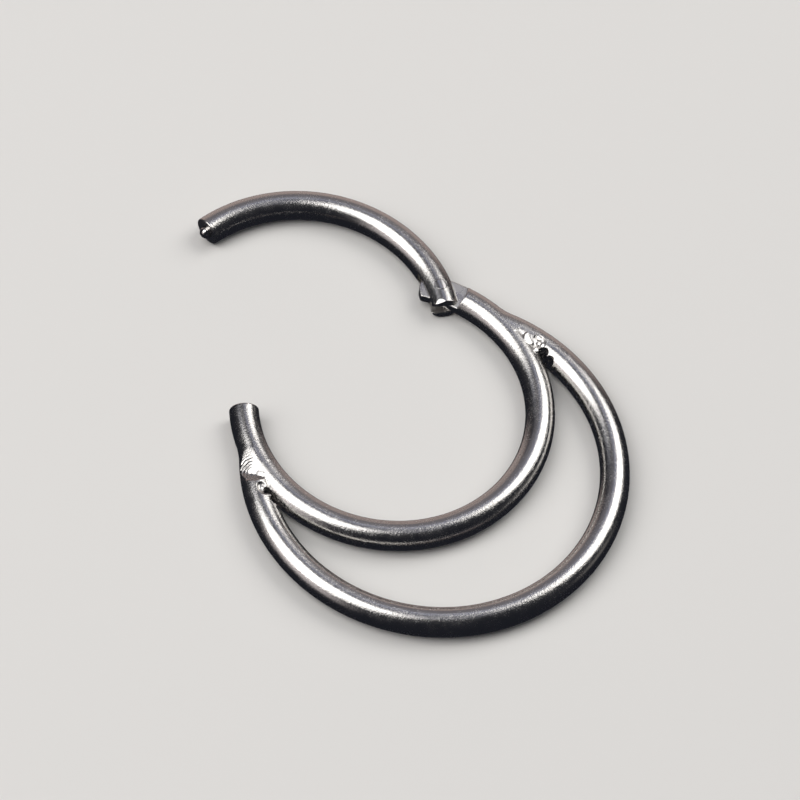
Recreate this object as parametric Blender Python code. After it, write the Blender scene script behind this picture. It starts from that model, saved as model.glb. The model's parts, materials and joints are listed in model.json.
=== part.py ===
"""Hinged clicker ring with a second, larger ring wire welded outside the first one.

The ring lies on its side, with its gate swung open. Lengths are in metres, +Z is up, and the
origin is on the surface that the ring lies on, below the middle of its bounding box.
Angles on a wire are counted anticlockwise from +X around that wire's own centre.
"""
import math

import bmesh
import bpy
from mathutils import Matrix, Vector

MM = 0.001
DEG = math.pi / 180.0

# Wire and rings
WIRE_DIAMETER = 1.2 * MM
HOOP_RADIUS = 6.0 * MM             # middle of the wire, hoop and gate alike
CRESCENT_RADIUS = 7.25 * MM        # middle of the wire
CRESCENT_SHIFT = 3.1 * MM          # from the hoop's centre to the crescent's
CRESCENT_ANGLE = -50.0 * DEG       # the way the crescent stands out
CRESCENT_THINNING = 0.01 * MM      # the crescent's wire is this much thinner than the hoop's

# Gate and hinge
HINGE_ANGLE = 77.5 * DEG           # place of the pin on the hoop
GATE_SPAN = 112.5 * DEG            # from the pin to the gate's free end
GATE_OPENING = 52.0 * DEG          # how far the gate is swung out of the closed ring
END_REACH = 0.88 * MM              # from the pin to the cut end of the fork and of the tongue
TONGUE_THICKNESS = 0.40 * MM
PIN_DIAMETER = 0.50 * MM
RUNNING_GAP = 0.03 * MM            # between pieces that turn or fit in each other

# Latch
TIP_DIAMETER = 0.50 * MM
TIP_PROTRUSION = 0.30 * MM         # how far the domed tip stands out of the gate's end
TIP_SEAT_DEPTH = 0.60 * MM         # length of its shank inside the gate
SOCKET_DEPTH = 0.45 * MM
SOCKET_CLEARANCE = 0.15 * MM       # all round the tip, so that it can swing in sideways

# Welds between the hoop and the crescent
WELD_SPREAD = 0.56 * MM            # how far apart the middles of the two wires are at a weld
WELD_LENGTH = 1.2 * MM
WELD_WIDTH = 1.1 * MM
WELD_SINK = 0.02 * MM              # how far a weld's top and bottom stay inside the wire's
SLIT_SPREAD = 0.90 * MM            # spread of the wires where the slit beyond a weld begins
SLIT_LENGTH = 1.3 * MM
SLIT_WIDTH = 0.22 * MM             # clear space between the wires in the slit

# Faceting of round shapes
WIRE_SIDES = 20
WIRE_STEP = 5.0 * DEG
BORE_SIDES = 24
KNUCKLE_SIDES = 48
DOME_RINGS = 4

# Finishes: colour as linear RGBA, metallic, roughness
POLISHED_STEEL = ((0.62, 0.60, 0.59, 1.0), 1.0, 0.16)
DRAWN_STEEL = ((0.58, 0.57, 0.57, 1.0), 1.0, 0.20)
PIN_STEEL = ((0.50, 0.50, 0.51, 1.0), 1.0, 0.28)
TIP_STEEL = ((0.66, 0.65, 0.65, 1.0), 1.0, 0.10)

WIRE_RADIUS = WIRE_DIAMETER / 2.0
PAST = WIRE_DIAMETER               # how far a cutter runs past what it cuts


def point_on(radius, angle, centre=(0.0, 0.0)):
    """A point at the wire's middle height, at an angle around a ring's centre."""
    x = centre[0] + radius * math.cos(angle)
    y = centre[1] + radius * math.sin(angle)
    return Vector((x, y, WIRE_RADIUS))


def chord(radius_a, radius_b, angle):
    """Distance between two points that lie an angle apart around the same centre."""
    return math.sqrt(radius_a ** 2 + radius_b ** 2 - 2.0 * radius_a * radius_b * math.cos(angle))


HINGE_POINT = point_on(HOOP_RADIUS, HINGE_ANGLE)
REACH_ANGLE = END_REACH / HOOP_RADIUS
KNUCKLE_RADIUS = chord(HOOP_RADIUS, HOOP_RADIUS + WIRE_RADIUS, REACH_ANGLE) + RUNNING_GAP
LATCH_ANGLE = HINGE_ANGLE + GATE_SPAN
END_GAP_ANGLE = RUNNING_GAP / HOOP_RADIUS
CRESCENT_CENTRE = point_on(CRESCENT_SHIFT, CRESCENT_ANGLE)


def steel(name, finish):
    """A Principled material from one of the finishes above."""
    colour, metallic, roughness = finish
    material = bpy.data.materials.new(name)
    material.use_nodes = True
    shader = material.node_tree.nodes["Principled BSDF"]
    shader.inputs["Base Color"].default_value = colour
    shader.inputs["Metallic"].default_value = metallic
    shader.inputs["Roughness"].default_value = roughness
    material.diffuse_color = colour
    return material


def finished(name, bm):
    """Turns a bmesh into an object whose faces all point outwards."""
    bmesh.ops.recalc_face_normals(bm, faces=bm.faces[:])
    mesh = bpy.data.meshes.new(name)
    bm.to_mesh(mesh)
    bm.free()
    mesh.shade_smooth()
    mesh.set_sharp_from_angle(angle=35.0 * DEG)
    obj = bpy.data.objects.new(name, mesh)
    bpy.context.scene.collection.objects.link(obj)
    return obj


def wire_arc(name, radius, start, end, centre=(0.0, 0.0), thickness=WIRE_DIAMETER):
    """Round wire bent along an arc, with flat cut ends and a flat facet underneath."""
    bm = bmesh.new()
    corner_radius = thickness / 2.0 / math.cos(math.pi / WIRE_SIDES)
    upright = (
        Matrix.Rotation(start, 4, "Z")
        @ Matrix.Translation((radius, 0.0, WIRE_RADIUS))
        @ Matrix.Rotation(math.pi / 2.0, 4, "X")
        @ Matrix.Rotation(math.pi / WIRE_SIDES, 4, "Z")
    )
    bmesh.ops.create_circle(bm, segments=WIRE_SIDES, radius=corner_radius, matrix=upright)
    bmesh.ops.spin(
        bm,
        geom=bm.verts[:] + bm.edges[:],
        cent=(0.0, 0.0, 0.0),
        axis=(0.0, 0.0, 1.0),
        angle=end - start,
        steps=max(2, round((end - start) / WIRE_STEP)),
    )
    bmesh.ops.holes_fill(bm, edges=bm.edges[:], sides=0)
    bmesh.ops.translate(bm, verts=bm.verts[:], vec=(centre[0], centre[1], 0.0))
    return finished(name, bm)


def upright_cylinder(name, centre, radius, bottom, top, sides):
    """A cylinder around a vertical axis, between two heights."""
    bm = bmesh.new()
    place = Matrix.Translation((centre[0], centre[1], (bottom + top) / 2.0))
    bmesh.ops.create_cone(
        bm, cap_ends=True, segments=sides, radius1=radius, radius2=radius, depth=top - bottom, matrix=place
    )
    return finished(name, bm)


def along_wire(angle):
    """Frame at an angle on the hoop: local Z runs along the wire, anticlockwise, local Y points out."""
    frame = Matrix.Translation(point_on(HOOP_RADIUS, angle))
    return frame @ Matrix.Rotation(angle - math.pi / 2.0, 4, "Z") @ Matrix.Rotation(-math.pi / 2.0, 4, "Y")


def bore(name, angle, radius, start, end):
    """A cutter along the wire's direction at an angle on the hoop, from start to end."""
    bm = bmesh.new()
    place = along_wire(angle) @ Matrix.Translation((0.0, 0.0, (start + end) / 2.0))
    bmesh.ops.create_cone(
        bm, cap_ends=True, segments=BORE_SIDES, radius1=radius, radius2=radius, depth=end - start, matrix=place
    )
    return finished(name, bm)


def combine(target, tool, operation):
    """Adds, cuts or intersects one solid with another, which then only shows as wire."""
    modifier = target.modifiers.new(tool.name, "BOOLEAN")
    modifier.operation = operation
    modifier.object = tool
    modifier.solver = "EXACT"
    tool.hide_render = True
    tool.display_type = "WIRE"


def weld_bead(name, angle):
    """A drop of melted metal that fills the corner between the hoop and the crescent."""
    bm = bmesh.new()
    middle = point_on(HOOP_RADIUS + WELD_SPREAD / 2.0, angle)
    place = Matrix.Translation(middle) @ Matrix.Rotation(angle, 4, "Z")
    shape = Matrix.Diagonal((WELD_WIDTH / 2.0, WELD_LENGTH / 2.0, WIRE_RADIUS - WELD_SINK, 1.0))
    bmesh.ops.create_icosphere(bm, subdivisions=2, radius=1.0, matrix=place @ shape)
    return finished(name, bm)


def crescent_half_span():
    """Angle, around the crescent's own centre, from its middle to where it runs into the hoop."""
    adjacent = HOOP_RADIUS ** 2 - CRESCENT_RADIUS ** 2 - CRESCENT_SHIFT ** 2
    return math.acos(adjacent / (2.0 * CRESCENT_RADIUS * CRESCENT_SHIFT))


def offset_at(spread):
    """Angle, around the hoop's centre, from the crescent's middle to where the wires have that spread."""
    reach = CRESCENT_RADIUS - spread
    adjacent = HOOP_RADIUS ** 2 + CRESCENT_SHIFT ** 2 - reach ** 2
    return math.acos(adjacent / (2.0 * HOOP_RADIUS * CRESCENT_SHIFT))


def build_crescent():
    """The larger wire, with a slit ground beyond each weld so that it stands clear of the hoop there."""
    half_span = crescent_half_span()
    crescent = wire_arc(
        "crescent_wire",
        CRESCENT_RADIUS,
        CRESCENT_ANGLE - half_span,
        CRESCENT_ANGLE + half_span,
        CRESCENT_CENTRE,
        WIRE_DIAMETER - CRESCENT_THINNING,
    )
    outer = offset_at(SLIT_SPREAD)
    inner = outer - SLIT_LENGTH / HOOP_RADIUS
    slits = []
    for start, end, label in ((inner, outer, "upper"), (-outer, -inner, "left")):
        start += CRESCENT_ANGLE
        end += CRESCENT_ANGLE
        slit = wire_arc("cut_slit_" + label, HOOP_RADIUS, start, end, thickness=WIRE_DIAMETER + 2.0 * SLIT_WIDTH)
        combine(crescent, slit, "DIFFERENCE")
        slits.append(slit)
    return [crescent] + slits


def build_hoops():
    """The fixed hoop and the crescent, welded into one solid, with the hinge tongue and the socket."""
    tongue_end = HINGE_ANGLE + 2.0 * math.pi + REACH_ANGLE
    hoops = wire_arc("welded_hoops", HOOP_RADIUS, LATCH_ANGLE + END_GAP_ANGLE, tongue_end)
    hoops.data.materials.append(steel("polished_steel_hoops", POLISHED_STEEL))

    crescent_and_slits = build_crescent()
    beads = []
    for side, label in ((1.0, "upper"), (-1.0, "left")):
        beads.append(weld_bead("weld_bead_" + label, CRESCENT_ANGLE + side * offset_at(WELD_SPREAD)))
    for added in crescent_and_slits[:1] + beads:
        combine(hoops, added, "UNION")

    tongue_top = WIRE_RADIUS + TONGUE_THICKNESS / 2.0
    tongue_bottom = WIRE_RADIUS - TONGUE_THICKNESS / 2.0
    above = upright_cylinder(
        "cut_above_tongue", HINGE_POINT, KNUCKLE_RADIUS, tongue_top, WIRE_DIAMETER + PAST, KNUCKLE_SIDES
    )
    below = upright_cylinder("cut_below_tongue", HINGE_POINT, KNUCKLE_RADIUS, -PAST, tongue_bottom, KNUCKLE_SIDES)
    pin_hole = upright_cylinder(
        "cut_tongue_hole", HINGE_POINT, PIN_DIAMETER / 2.0 + RUNNING_GAP, -PAST, WIRE_DIAMETER + PAST, BORE_SIDES
    )
    socket = bore("cut_socket", LATCH_ANGLE, TIP_DIAMETER / 2.0 + SOCKET_CLEARANCE, -PAST, SOCKET_DEPTH)
    cutters = [above, below, pin_hole, socket]
    for cutter in cutters:
        combine(hoops, cutter, "DIFFERENCE")
    return [hoops] + crescent_and_slits + beads + cutters


def build_gate():
    """The hinged part of the ring, forked at the pin and drilled for the latch tip, drawn closed."""
    gate = wire_arc("gate", HOOP_RADIUS, HINGE_ANGLE - REACH_ANGLE, LATCH_ANGLE)
    gate.data.materials.append(steel("polished_steel_gate", DRAWN_STEEL))

    half_slot = TONGUE_THICKNESS / 2.0 + RUNNING_GAP
    slot = upright_cylinder(
        "cut_fork_slot", HINGE_POINT, KNUCKLE_RADIUS, WIRE_RADIUS - half_slot, WIRE_RADIUS + half_slot, KNUCKLE_SIDES
    )
    pin_hole = upright_cylinder(
        "cut_fork_hole", HINGE_POINT, PIN_DIAMETER / 2.0 + RUNNING_GAP, -PAST, WIRE_DIAMETER + PAST, BORE_SIDES
    )
    seat = bore(
        "cut_tip_seat", LATCH_ANGLE, TIP_DIAMETER / 2.0 + RUNNING_GAP, -TIP_SEAT_DEPTH - RUNNING_GAP, PAST
    )
    for cutter in (slot, pin_hole, seat):
        combine(gate, cutter, "DIFFERENCE")
    return [gate, slot, pin_hole, seat]


def build_pin():
    """The hinge pin through both ears and the tongue, ground flush with the round of the wire."""
    pin = upright_cylinder("hinge_pin", HINGE_POINT, PIN_DIAMETER / 2.0, -PAST, WIRE_DIAMETER + PAST, BORE_SIDES)
    pin.data.materials.append(steel("pin_steel", PIN_STEEL))
    envelope = wire_arc("pin_envelope", HOOP_RADIUS, HINGE_ANGLE - REACH_ANGLE, HINGE_ANGLE + REACH_ANGLE)
    combine(pin, envelope, "INTERSECT")
    return [pin, envelope]


def build_tip():
    """The latch tip: a round shank in the gate's end, with a dome that clicks into the socket."""
    radius = TIP_DIAMETER / 2.0
    straight = TIP_PROTRUSION - radius
    outline = [(radius, -TIP_SEAT_DEPTH)]
    for ring in range(DOME_RINGS):
        turn = ring * (math.pi / 2.0) / DOME_RINGS
        outline.append((radius * math.cos(turn), straight + radius * math.sin(turn)))
    top = Vector((0.0, 0.0, TIP_PROTRUSION))
    bm = bmesh.new()
    rings = []
    for ring_radius, height in outline:
        place = Matrix.Translation((0.0, 0.0, height))
        made = bmesh.ops.create_circle(bm, segments=BORE_SIDES, radius=ring_radius, matrix=place)
        rings.append(made["verts"])
    for lower, upper in zip(rings, rings[1:]):
        for i in range(BORE_SIDES):
            j = (i + 1) % BORE_SIDES
            bm.faces.new((lower[i], lower[j], upper[j], upper[i]))
    apex = bm.verts.new(top)
    for i in range(BORE_SIDES):
        bm.faces.new((rings[-1][i], rings[-1][(i + 1) % BORE_SIDES], apex))
    bm.faces.new(reversed(rings[0]))
    bmesh.ops.transform(bm, matrix=along_wire(LATCH_ANGLE), verts=bm.verts[:])
    tip = finished("latch_tip", bm)
    tip.data.materials.append(steel("tip_steel", TIP_STEEL))
    return [tip]


def empty(name, location):
    """A plain empty that other objects are parented to."""
    obj = bpy.data.objects.new(name, None)
    obj.empty_display_size = WIRE_DIAMETER
    obj.location = location
    bpy.context.scene.collection.objects.link(obj)
    return obj


def box_of(objects):
    """Lowest and highest corners of the evaluated objects, in world space."""
    depsgraph = bpy.context.evaluated_depsgraph_get()
    points = []
    for obj in objects:
        evaluated = obj.evaluated_get(depsgraph)
        mesh = evaluated.to_mesh()
        points.extend(evaluated.matrix_world @ vertex.co for vertex in mesh.vertices)
        evaluated.to_mesh_clear()
    low = Vector([min(p[i] for p in points) for i in range(3)])
    high = Vector([max(p[i] for p in points) for i in range(3)])
    return low, high


def main():
    for obj in list(bpy.data.objects):
        bpy.data.objects.remove(obj)

    assembly = empty("clicker_ring", (0.0, 0.0, 0.0))
    fixed = build_hoops()
    for obj in fixed:
        obj.parent = assembly

    hinge = empty("gate_hinge", HINGE_POINT)
    hinge.parent = assembly
    hinge.rotation_euler.z = -GATE_OPENING
    swinging = build_gate() + build_pin() + build_tip()
    for obj in swinging:
        obj.parent = hinge
        obj.location = -HINGE_POINT

    bpy.context.view_layer.update()
    shown = [obj for obj in fixed + swinging if not obj.hide_render]
    low, high = box_of(shown)
    middle = (low + high) / 2.0
    assembly.location = (-middle.x, -middle.y, -low.z)


main()
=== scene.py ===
"""Hinged clicker ring with a welded crescent: the looks of every piece, the light and the camera.

The ring lies on its side with its gate swung open. Each steel piece is a signed distance field: the
worked stretches (hinge, welds, ends) are meshed from it, and the plain wire between them is swept.
"""

import json
import math
from typing import NamedTuple

import bmesh
import bpy
import numpy as np
from bpy.props import FloatProperty, IntProperty, PointerProperty, StringProperty
from mathutils import Matrix, Vector


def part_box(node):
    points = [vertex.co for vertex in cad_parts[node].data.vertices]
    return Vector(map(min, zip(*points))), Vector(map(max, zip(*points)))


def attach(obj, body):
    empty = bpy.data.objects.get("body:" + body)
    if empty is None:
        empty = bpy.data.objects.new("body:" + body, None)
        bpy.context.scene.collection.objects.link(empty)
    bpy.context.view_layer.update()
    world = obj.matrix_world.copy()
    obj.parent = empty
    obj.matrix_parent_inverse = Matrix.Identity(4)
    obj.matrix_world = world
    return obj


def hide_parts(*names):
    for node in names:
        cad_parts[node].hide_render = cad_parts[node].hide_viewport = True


bl_info = {
    "name": "Clicker Ring",
    "version": (1, 0, 0),
    "blender": (4, 5, 0),
    "location": "3D View > Sidebar > Ring",
    "description": "Builds a hinged clicker ring of polished steel wire with a welded crescent",
    "category": "Add Mesh",
}

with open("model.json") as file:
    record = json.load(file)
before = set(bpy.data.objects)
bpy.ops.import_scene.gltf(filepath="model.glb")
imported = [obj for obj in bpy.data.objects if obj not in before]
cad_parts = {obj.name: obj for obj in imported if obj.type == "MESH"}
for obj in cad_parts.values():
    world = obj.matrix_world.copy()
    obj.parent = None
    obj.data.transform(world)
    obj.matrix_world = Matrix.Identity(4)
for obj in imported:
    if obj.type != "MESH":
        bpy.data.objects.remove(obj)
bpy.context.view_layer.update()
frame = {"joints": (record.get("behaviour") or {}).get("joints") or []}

MM = 0.001
HINGE = Vector(frame["joints"][0]["pos_m"])
CLOSED_TURN = math.radians(max(frame["joints"][0]["range_deg"]))


def node_size(node, axis):
    """Size of a CAD node at rest along an axis, in millimetres."""
    low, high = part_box(node)
    return (high[axis] - low[axis]) / MM


def length(name, description, default_mm):
    """A length property of the ring, in metres."""
    default = default_mm * MM
    return FloatProperty(name=name, description=description, default=default, unit="LENGTH", precision=5)


def angle(name, description, default_degrees):
    """An angle property of the ring."""
    default = math.radians(default_degrees)
    return FloatProperty(name=name, description=description, default=default, subtype="ANGLE")


class RingSizes(bpy.types.PropertyGroup):
    """Sizes of the wire, the hinge, the latch and the welds."""

    wire: length("Wire", "Diameter of the round wire", node_size("welded_hoops", 2))
    hoop_radius: length("Hoop Radius", "Middle of the hoop's and the gate's wire", 6.0)
    hinge_angle: angle("Hinge Angle", "Place of the pin around the hoop", 77.5)
    gate_span: angle("Gate Span", "From the pin to the gate's free end", 112.5)
    crescent_radius: length("Crescent Radius", "Middle of the crescent's wire", 7.25)
    crescent_shift: length("Crescent Shift", "From the hoop's centre to the crescent's", 3.1)
    crescent_angle: angle("Crescent Angle", "The way the crescent stands out", -50.0)
    end_reach: length("End Reach", "From the pin to the cut ends at the hinge", 0.88)
    tongue: length("Tongue", "Thickness of the hinge's tongue", 0.40)
    pin: length("Pin", "Diameter of the hinge pin", node_size("hinge_pin", 0))
    running_gap: length("Running Gap", "Between pieces that turn in each other", 0.03)
    hairline: length("Hairline", "Joint that shows round the pin and the latch tip", 0.005)
    tongue_round: length("Tongue Round", "Radius around the pin of the tongue's end", 0.86)
    fork_round: length("Fork Round", "Radius around the pin of the fork's corners", 0.95)
    tip: length("Tip", "Diameter of the latch tip", node_size("latch_tip", 2))
    tip_reach: length("Tip Reach", "How far the domed tip stands out", 0.30)
    tip_seat: length("Tip Seat", "Length of the tip's shank in the gate", 0.60)
    socket_depth: length("Socket Depth", "Depth of the socket for the tip", 0.45)
    socket_clearance: length("Socket Clearance", "All round the tip in its socket", 0.15)
    ground_spread: length("Ground Spread", "Spread of the wires up to which a weld is ground smooth", 0.42)
    slit_spread: length("Slit Spread", "Spread of the wires where the slit beyond a weld begins", 0.90)
    slit_length: length("Slit Length", "Length of the slit beyond a weld", 1.3)
    slit_width: length("Slit Width", "Clear space between the wires in the slit", 0.22)
    grind_tilt: angle("Grind Tilt", "Slope to which the left weld is ground down outwards", 28.0)
    ripple_spacing: length("Ripple Spacing", "From one torch ripple to the next", 0.125)
    edge: length("Edge", "Rounding of the tumbled edges", 0.045)
    wire_sides: IntProperty(name="Wire Sides", description="Faces round the swept wire", default=72, min=12)
    wire_step: length("Wire Step", "Length of a face along the swept wire", 0.15)


class RingFinish(bpy.types.PropertyGroup):
    """Colours of the metals and of the stage, as sRGB hex values."""

    steel: StringProperty(name="Steel", description="Polished surgical steel", default="#CDCBC8")
    pin: StringProperty(name="Pin", description="Ground end of the pin", default="#C9C7C6")
    tip: StringProperty(name="Tip", description="Latch tip", default="#D2D0CE")
    floor: StringProperty(name="Floor", description="Plain pale floor", default="#DAD9D6")
    key: FloatProperty(name="Key Light", description="Radiance of the two softboxes", default=3.0, min=0.0)
    fill: FloatProperty(name="Fill", description="Radiance of the floor's own light", default=0.4, min=0.0)


def linear_colour(text):
    """Linear RGBA from an sRGB hex value."""
    channels = [int(text[i:i + 2], 16) / 255.0 for i in (1, 3, 5)]
    return tuple(c / 12.92 if c <= 0.04045 else ((c + 0.055) / 1.055) ** 2.4 for c in channels) + (1.0,)


def add_node(tree, kind, settings=None, inputs=None):
    """Adds a node, sets its properties, and sets or links its inputs, which are named or numbered."""
    node = tree.nodes.new(kind)
    for name, value in (settings or {}).items():
        setattr(node, name, value)
    for name, value in (inputs or {}).items():
        if isinstance(value, bpy.types.NodeSocket):
            tree.links.new(value, node.inputs[name])
        else:
            node.inputs[name].default_value = value
    return node


class RingPlan:
    """The ring's layout in millimetres, with its centres placed from the hinge in the frame."""

    def __init__(self, sizes):
        for name in sizes.__annotations__:
            value = getattr(sizes, name)
            is_length = not (name.endswith(("angle", "span", "tilt")) or name == "wire_sides")
            setattr(self, name, value / MM if is_length else value)
        self.radius = self.wire / 2.0
        self.hinge = np.array(HINGE[:2]) / MM
        self.hoop = self.hinge - self.hoop_radius * self.heading(self.hinge_angle)
        self.crescent = self.hoop + self.crescent_shift * self.heading(self.crescent_angle)
        self.latch_angle = self.hinge_angle + self.gate_span
        self.reach_angle = self.end_reach / self.hoop_radius
        self.gap_angle = self.running_gap / self.hoop_radius
        outer = self.hoop_radius + self.radius
        across = 2.0 * self.hoop_radius * outer * math.cos(self.reach_angle)
        self.knuckle = math.sqrt(self.hoop_radius ** 2 + outer ** 2 - across) + self.running_gap

    @staticmethod
    def heading(turn):
        """Unit vector on the floor at an angle."""
        return np.array([math.cos(turn), math.sin(turn)])

    def on_hoop(self, turn, outwards=0.0):
        """A point over the hoop at an angle, moved outwards from the wire's middle."""
        return self.hoop + (self.hoop_radius + outwards) * self.heading(turn)

    def offset_at(self, spread):
        """Angle from the crescent's middle to where the two wires' middles have that spread."""
        reach = self.crescent_radius - spread
        adjacent = self.hoop_radius ** 2 + self.crescent_shift ** 2 - reach ** 2
        return math.acos(adjacent / (2.0 * self.hoop_radius * self.crescent_shift))

    def spread_at(self, turns):
        """How far apart the wires' middles are along rays from the hoop's centre, and 0 inside the hoop."""
        shift = self.crescent - self.hoop
        along = np.cos(turns) * shift[0] + np.sin(turns) * shift[1]
        inside = np.maximum(along ** 2 - shift @ shift + self.crescent_radius ** 2, 0.0)
        return np.maximum(along + np.sqrt(inside) - self.hoop_radius, 0.0)

    def half_span(self):
        """Angle, around its own centre, from the crescent's middle to where it runs into the hoop."""
        adjacent = self.hoop_radius ** 2 - self.crescent_radius ** 2 - self.crescent_shift ** 2
        return math.acos(adjacent / (2.0 * self.crescent_radius * self.crescent_shift))

    def crescent_turn(self, hoop_turn):
        """Angle around the crescent's centre of the point that a ray from the hoop's centre meets."""
        ray = self.heading(hoop_turn)
        shift = self.crescent - self.hoop
        along = ray @ shift
        reach = along + math.sqrt(along ** 2 - shift @ shift + self.crescent_radius ** 2)
        point = self.hoop + reach * ray - self.crescent
        return math.atan2(point[1], point[0])


def in_both(a, b, fillet):
    """Distance to what lies in both shapes, with the edge between them rounded."""
    rounded = np.hypot(np.maximum(a + fillet, 0.0), np.maximum(b + fillet, 0.0))
    return np.minimum(-fillet, np.maximum(a, b)) + rounded


def in_either(a, b, fillet):
    """Distance to two shapes joined, with a hollow fillet between them."""
    return -in_both(-a, -b, fillet)


def cut_from(a, b, fillet):
    """Distance to the first shape with the second cut away, with a rounded edge."""
    return in_both(a, -b, fillet)


def smooth_between(low, high, values):
    """0 below the low value, 1 above the high one, and smooth between them."""
    t = np.clip((values - low) / (high - low), 0.0, 1.0)
    return t * t * (3.0 - 2.0 * t)


def around(points, centre):
    """Distance from an upright axis, and the angle around it."""
    x = points[:, 0] - centre[0]
    y = points[:, 1] - centre[1]
    return np.hypot(x, y), np.arctan2(y, x)


def nearest_turn(turn, middle):
    """The angle written as a difference from a middle one, between minus pi and pi."""
    return (turn - middle + math.pi) % (2.0 * math.pi) - math.pi


def wire_arc(plan, points, start, end, fillet):
    """Distance to the hoop's wire between two angles, with cut ends whose rims are rounded."""
    rho, turn = around(points, plan.hoop)
    wire = np.hypot(rho - plan.hoop_radius, points[:, 2] - plan.radius) - plan.radius
    beyond = np.abs(nearest_turn(turn, (start + end) / 2.0)) - (end - start) / 2.0
    ends = rho * np.sin(np.clip(beyond, -math.pi / 2.0, math.pi / 2.0))
    return in_both(wire, ends, fillet)


def crescent_arc(plan, points):
    """Distance to the crescent's wire, whose two ends are buried in the hoop."""
    rho, turn = around(points, plan.crescent)
    half = plan.half_span()
    past = np.maximum(np.abs(nearest_turn(turn, plan.crescent_angle)) - half, 0.0)
    across = 2 * rho * plan.crescent_radius * np.cos(past)
    off = np.sqrt(np.maximum(rho ** 2 + plan.crescent_radius ** 2 - across, 0.0))
    return np.hypot(off, points[:, 2] - plan.radius) - plan.radius


def bore_distance(plan, points, turn, radius, start, end):
    """Distance to a cylinder along the hoop's wire at an angle, between two lengths from there."""
    middle = plan.on_hoop(turn)
    forward = np.array([-math.sin(turn), math.cos(turn)])
    relative = points[:, :2] - middle
    along = relative @ forward
    sideways = relative @ plan.heading(turn)
    wall = np.hypot(sideways, points[:, 2] - plan.radius) - radius
    return np.maximum(wall, np.maximum(start - along, along - end))


def end_round(plan, points, side, radius):
    """Distance past a rounding about the pin, for the wire's end on one side of the pin."""
    past = side * nearest_turn(around(points, plan.hoop)[1], plan.hinge_angle)
    return np.where((past > 0.0) & (past < 0.5), around(points, plan.hinge)[0] - radius, -1.0)


def ellipsoid(local, radii):
    """Distance to an ellipsoid, from local coordinates and its three radii."""
    scaled = local / radii
    size = np.maximum(np.linalg.norm(scaled, axis=1), 1e-9)
    slope = np.maximum(np.linalg.norm(scaled / radii, axis=1), 1e-9)
    return size * (size - 1.0) / slope


def lumps(points, height, grain, seed):
    """Soft random relief, about as far up as down, with a given height and grain in millimetres."""
    total = np.zeros(len(points))
    for octave, share in enumerate((0.6, 0.3, 0.1)):
        wave = 2.0 * math.pi * 1.9 ** octave / grain
        for axis in range(3):
            phase = seed * 1.7 + octave * 2.3 + axis * 4.1
            heading = np.array([math.sin(phase), math.cos(1.3 * phase), math.sin(0.7 * phase + 1.0)])
            total += share / 1.7 * np.sin(points @ heading * wave + 3.0 * phase)
    return height * total


class Spot(NamedTuple):
    """A drop of weld metal, or a hollow in it, in millimetres.

    Its place is the spread of the wires there, how far out it lies from the hoop's wire, and its height
    over the wire's middle. Its radii go outwards, along and upwards. A drop that was ground or struck
    flat has the height of that flat, and how far the flat leans outwards and along in degrees.
    """

    place: tuple
    radii: tuple
    flat: float = None
    lean: tuple = (0, 0)


UPPER_WELD = (
    Spot((0.66, 0.41, 0.20), (0.33, 0.36, 0.50), 0.560, (12, -13)),
    Spot((0.74, 0.76, 0.40), (0.12, 0.16, 0.24), 0.565, (14, -11)),
    Spot((0.85, 0.66, 0.40), (0.12, 0.12, 0.24), 0.550, (10, -15)),
    Spot((0.92, 0.77, 0.38), (0.17, 0.15, 0.28), 0.555, (13, -14)),
    Spot((0.93, 0.42, 0.36), (0.15, 0.14, 0.22), 0.530, (12, -12)),
    Spot((0.70, 0.35, -0.26), (0.26, 0.40, 0.32)),
)
LEFT_WELD = (
    Spot((0.60, 0.36, 0.18), (0.26, 0.42, 0.37), 0.494, (28, 1)),
    Spot((0.76, 0.44, 0.22), (0.20, 0.24, 0.32), 0.451, (28, 1)),
    Spot((0.67, 0.80, 0.26), (0.15, 0.13, 0.28), 0.430, (28, 5)),
    Spot((0.80, 0.82, 0.30), (0.19, 0.17, 0.30), 0.460, (27, 6)),
    Spot((0.66, 0.35, -0.26), (0.26, 0.42, 0.32)),
)
# Hollows that the grinding left round those drops, and pits between the wires.
UPPER_HOLLOWS = (Spot((0.82, 0.68, 0.64), (0.27, 0.36, 0.16)),)
LEFT_HOLLOWS = (Spot((0.82, 0.74, 0.64), (0.24, 0.34, 0.17)),)
UPPER_PITS = (
    Spot((1.02, 0.70, 0.40), (0.17, 0.16, 1.00)),
    Spot((1.20, 0.78, 0.40), (0.15, 0.20, 1.00)),
    Spot((1.38, 0.82, 0.40), (0.12, 0.13, 1.00)),
)
LEFT_PITS = (
    Spot((0.89, 0.66, 0.40), (0.16, 0.17, 1.00)),
    Spot((1.08, 0.76, 0.40), (0.10, 0.16, 1.00)),
    Spot((1.28, 0.80, 0.40), (0.12, 0.18, 1.00)),
)


def weld_local(plan, points, side, place):
    """Coordinates outwards, along and upwards from a place in the upper or the left weld."""
    spread, outwards, height = place
    turn = plan.crescent_angle + side * plan.offset_at(spread)
    middle = plan.on_hoop(turn, outwards)
    relative = points[:, :2] - middle
    radial = plan.heading(turn)
    forward = np.array([-radial[1], radial[0]])
    return np.stack([relative @ radial, relative @ forward, points[:, 2] - plan.radius - height], axis=1)


# A distance farther than any across a weld, in millimetres.
FAR = 9.0

# Roundings of the weld metal: edges of ground faces, and the hollows where drops run together and into
# the wires, in millimetres.
GROUND_EDGE = 0.02
BETWEEN_DROPS = 0.030
DROP_FOOT = 0.035

# How far below the round of the wire the metal between the wires is ground, and how far above the round
# of the hoop the left weld's slope lies, in millimetres.
FILL_SINK = 0.004
SLOPE_RISE = 0.004


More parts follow.
